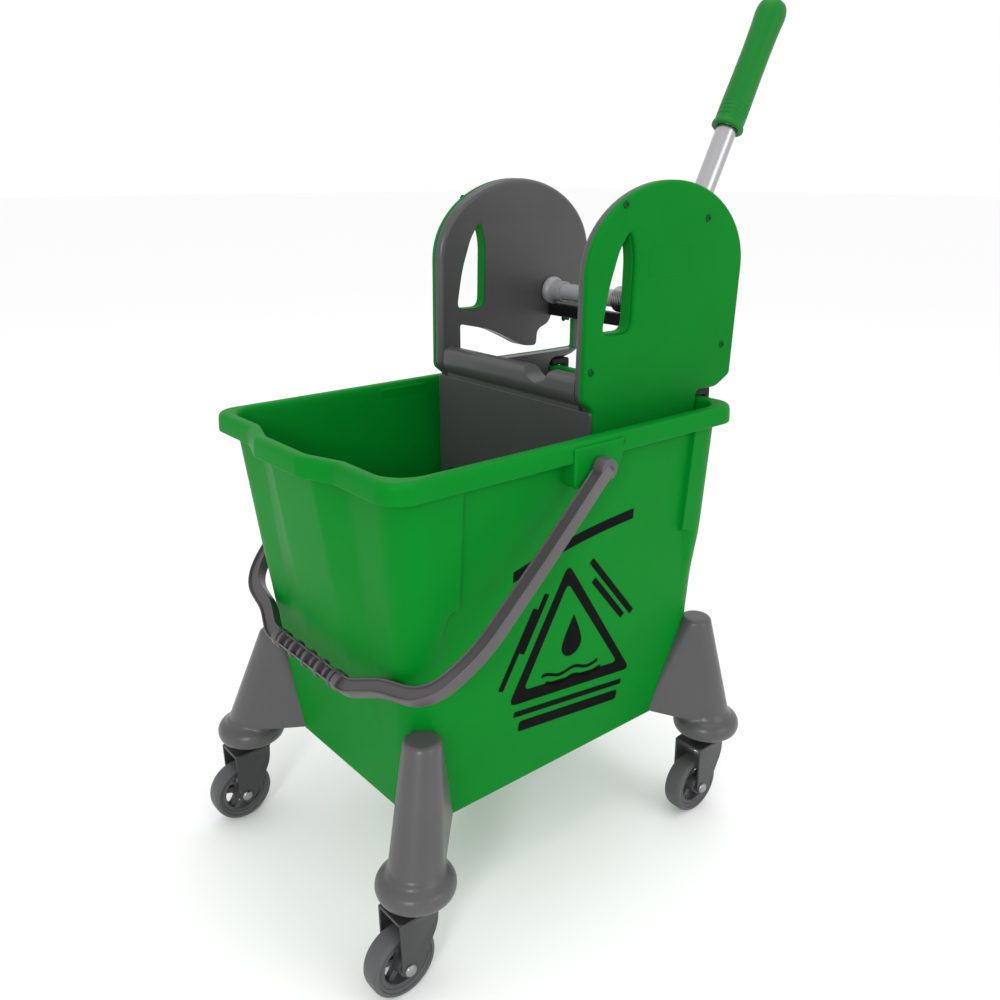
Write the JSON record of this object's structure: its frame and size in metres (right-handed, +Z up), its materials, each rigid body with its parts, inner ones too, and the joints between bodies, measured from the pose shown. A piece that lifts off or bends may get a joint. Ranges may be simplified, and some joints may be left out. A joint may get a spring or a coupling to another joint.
{
  "type": "mop bucket with wringer",
  "caption": "Mop bucket trolley: tapered bucket with pouring lip and bail handle on casters, and a lift-off down-press wringer with a long lever.",
  "frame": {"origin": "on the floor, under the middle of the bounding box", "axes": "+Z up, -Y towards the bucket's pouring lip, +Y towards the wringer and the lever, +X to the side that the lever stands on"},
  "size_m": [0.441, 0.6908, 0.9718],
  "materials": {
    "bucket_green": "moulded polypropylene with a soft sheen",
    "cover_green": "moulded plastic, fine grain",
    "panel_grey": "moulded plastic, fine grain",
    "leg_grey": "moulded plastic, satin",
    "bail_grey": "moulded plastic, satin",
    "fork_grey": "moulded plastic, satin",
    "wheel_grey": "moulded plastic, satin",
    "tyre_grey": "non-marking grey rubber",
    "steel": "zinc plated, satin",
    "lever_metal": "bright drawn tube",
    "collar_grey": "light grey moulding",
    "grip_green": "soft sleeve, satin",
    "black_plastic": "moulded plastic, satin"
  },
  "bodies": {
    "trolley": {"bucket": "bucket_green", "leg_front_left": "leg_grey", "leg_screw_front_left": "steel", "caster_stem_front_left": "black_plastic", "leg_front_right": "leg_grey", "leg_screw_front_right": "steel", "caster_stem_front_right": "black_plastic", "leg_rear_left": "leg_grey", "leg_screw_rear_left": "steel", "caster_stem_rear_left": "black_plastic", "leg_rear_right": "leg_grey", "leg_screw_rear_right": "steel", "caster_stem_rear_right": "black_plastic"},
    "bail": {"bail_handle": "bail_grey"},
    "wringer": {"side_shell_right": "panel_grey", "side_shell_left": "panel_grey", "side_cover_right": "cover_green", "side_cover_left": "cover_green", "cover_screw_right_1": "steel", "cover_screw_right_2": "steel", "cover_screw_right_3": "steel", "cover_screw_right_4": "steel", "cover_screw_left_1": "steel", "cover_screw_left_2": "steel", "cover_screw_left_3": "steel", "cover_screw_left_4": "steel", "front_panel": "panel_grey", "basket_floor": "panel_grey", "rear_hook_right": "black_plastic", "rear_hook_left": "black_plastic", "rear_tie": "black_plastic", "return_spring": "steel"},
    "press": {"press_shaft": "steel", "shaft_collar_right": "collar_grey", "shaft_collar_left": "collar_grey", "lever_hub": "panel_grey", "lever_tube": "lever_metal", "lever_grip": "grip_green", "press_rail": "black_plastic", "hanger_arm_right": "steel", "hanger_arm_left": "steel", "press_plate": "panel_grey"},
    "caster_front_left": {"caster_fork_front_left": "fork_grey", "wheel_axle_front_left": "steel"},
    "wheel_front_left": {"wheel_core_front_left": "wheel_grey", "tyre_front_left": "tyre_grey"},
    "caster_front_right": {"caster_fork_front_right": "fork_grey", "wheel_axle_front_right": "steel"},
    "wheel_front_right": {"wheel_core_front_right": "wheel_grey", "tyre_front_right": "tyre_grey"},
    "caster_rear_left": {"caster_fork_rear_left": "fork_grey", "wheel_axle_rear_left": "steel"},
    "wheel_rear_left": {"wheel_core_rear_left": "wheel_grey", "tyre_rear_left": "tyre_grey"},
    "caster_rear_right": {"caster_fork_rear_right": "fork_grey", "wheel_axle_rear_right": "steel"},
    "wheel_rear_right": {"wheel_core_rear_right": "wheel_grey", "tyre_rear_right": "tyre_grey"}
  },
  "joints": [
    {"name": "bail_hinge", "type": "hinge", "parent": "trolley", "child": "bail", "pos_m": [0, -0.05118, 0.503], "axis": [-1, 0, 0], "range_deg": [0, 130]},
    {"name": "wringer_lift", "type": "slide", "parent": "trolley", "child": "wringer", "axis": [0, 0, 1], "range_m": [0, 0.24]},
    {"name": "lever_press", "type": "hinge", "parent": "wringer", "child": "press", "pos_m": [0, 0.15932, 0.633], "axis": [-1, 0, 0], "range_deg": [0, 26], "stiffness_Nm_per_rad": 2, "springref_deg": -51.57},
    {"name": "swivel_front_left", "type": "hinge", "parent": "trolley", "child": "caster_front_left", "pos_m": [-0.1795, -0.28488, 0.097], "axis": [0, 0, 1], "continuous": true},
    {"name": "roll_front_left", "type": "hinge", "parent": "caster_front_left", "child": "wheel_front_left", "pos_m": [-0.1795, -0.30788, 0.0375], "axis": [1, 0, 0], "continuous": true},
    {"name": "swivel_front_right", "type": "hinge", "parent": "trolley", "child": "caster_front_right", "pos_m": [0.1795, -0.28488, 0.097], "axis": [0, 0, 1], "continuous": true},
    {"name": "roll_front_right", "type": "hinge", "parent": "caster_front_right", "child": "wheel_front_right", "pos_m": [0.1795, -0.30788, 0.0375], "axis": [1, 0, 0], "continuous": true},
    {"name": "swivel_rear_left", "type": "hinge", "parent": "trolley", "child": "caster_rear_left", "pos_m": [-0.1795, 0.16682, 0.097], "axis": [0, 0, 1], "continuous": true},
    {"name": "roll_rear_left", "type": "hinge", "parent": "caster_rear_left", "child": "wheel_rear_left", "pos_m": [-0.1795, 0.14382, 0.0375], "axis": [1, 0, 0], "continuous": true},
    {"name": "swivel_rear_right", "type": "hinge", "parent": "trolley", "child": "caster_rear_right", "pos_m": [0.1795, 0.16682, 0.097], "axis": [0, 0, 1], "continuous": true},
    {"name": "roll_rear_right", "type": "hinge", "parent": "caster_rear_right", "child": "wheel_rear_right", "pos_m": [0.1795, 0.14382, 0.0375], "axis": [1, 0, 0], "continuous": true}
  ]
}
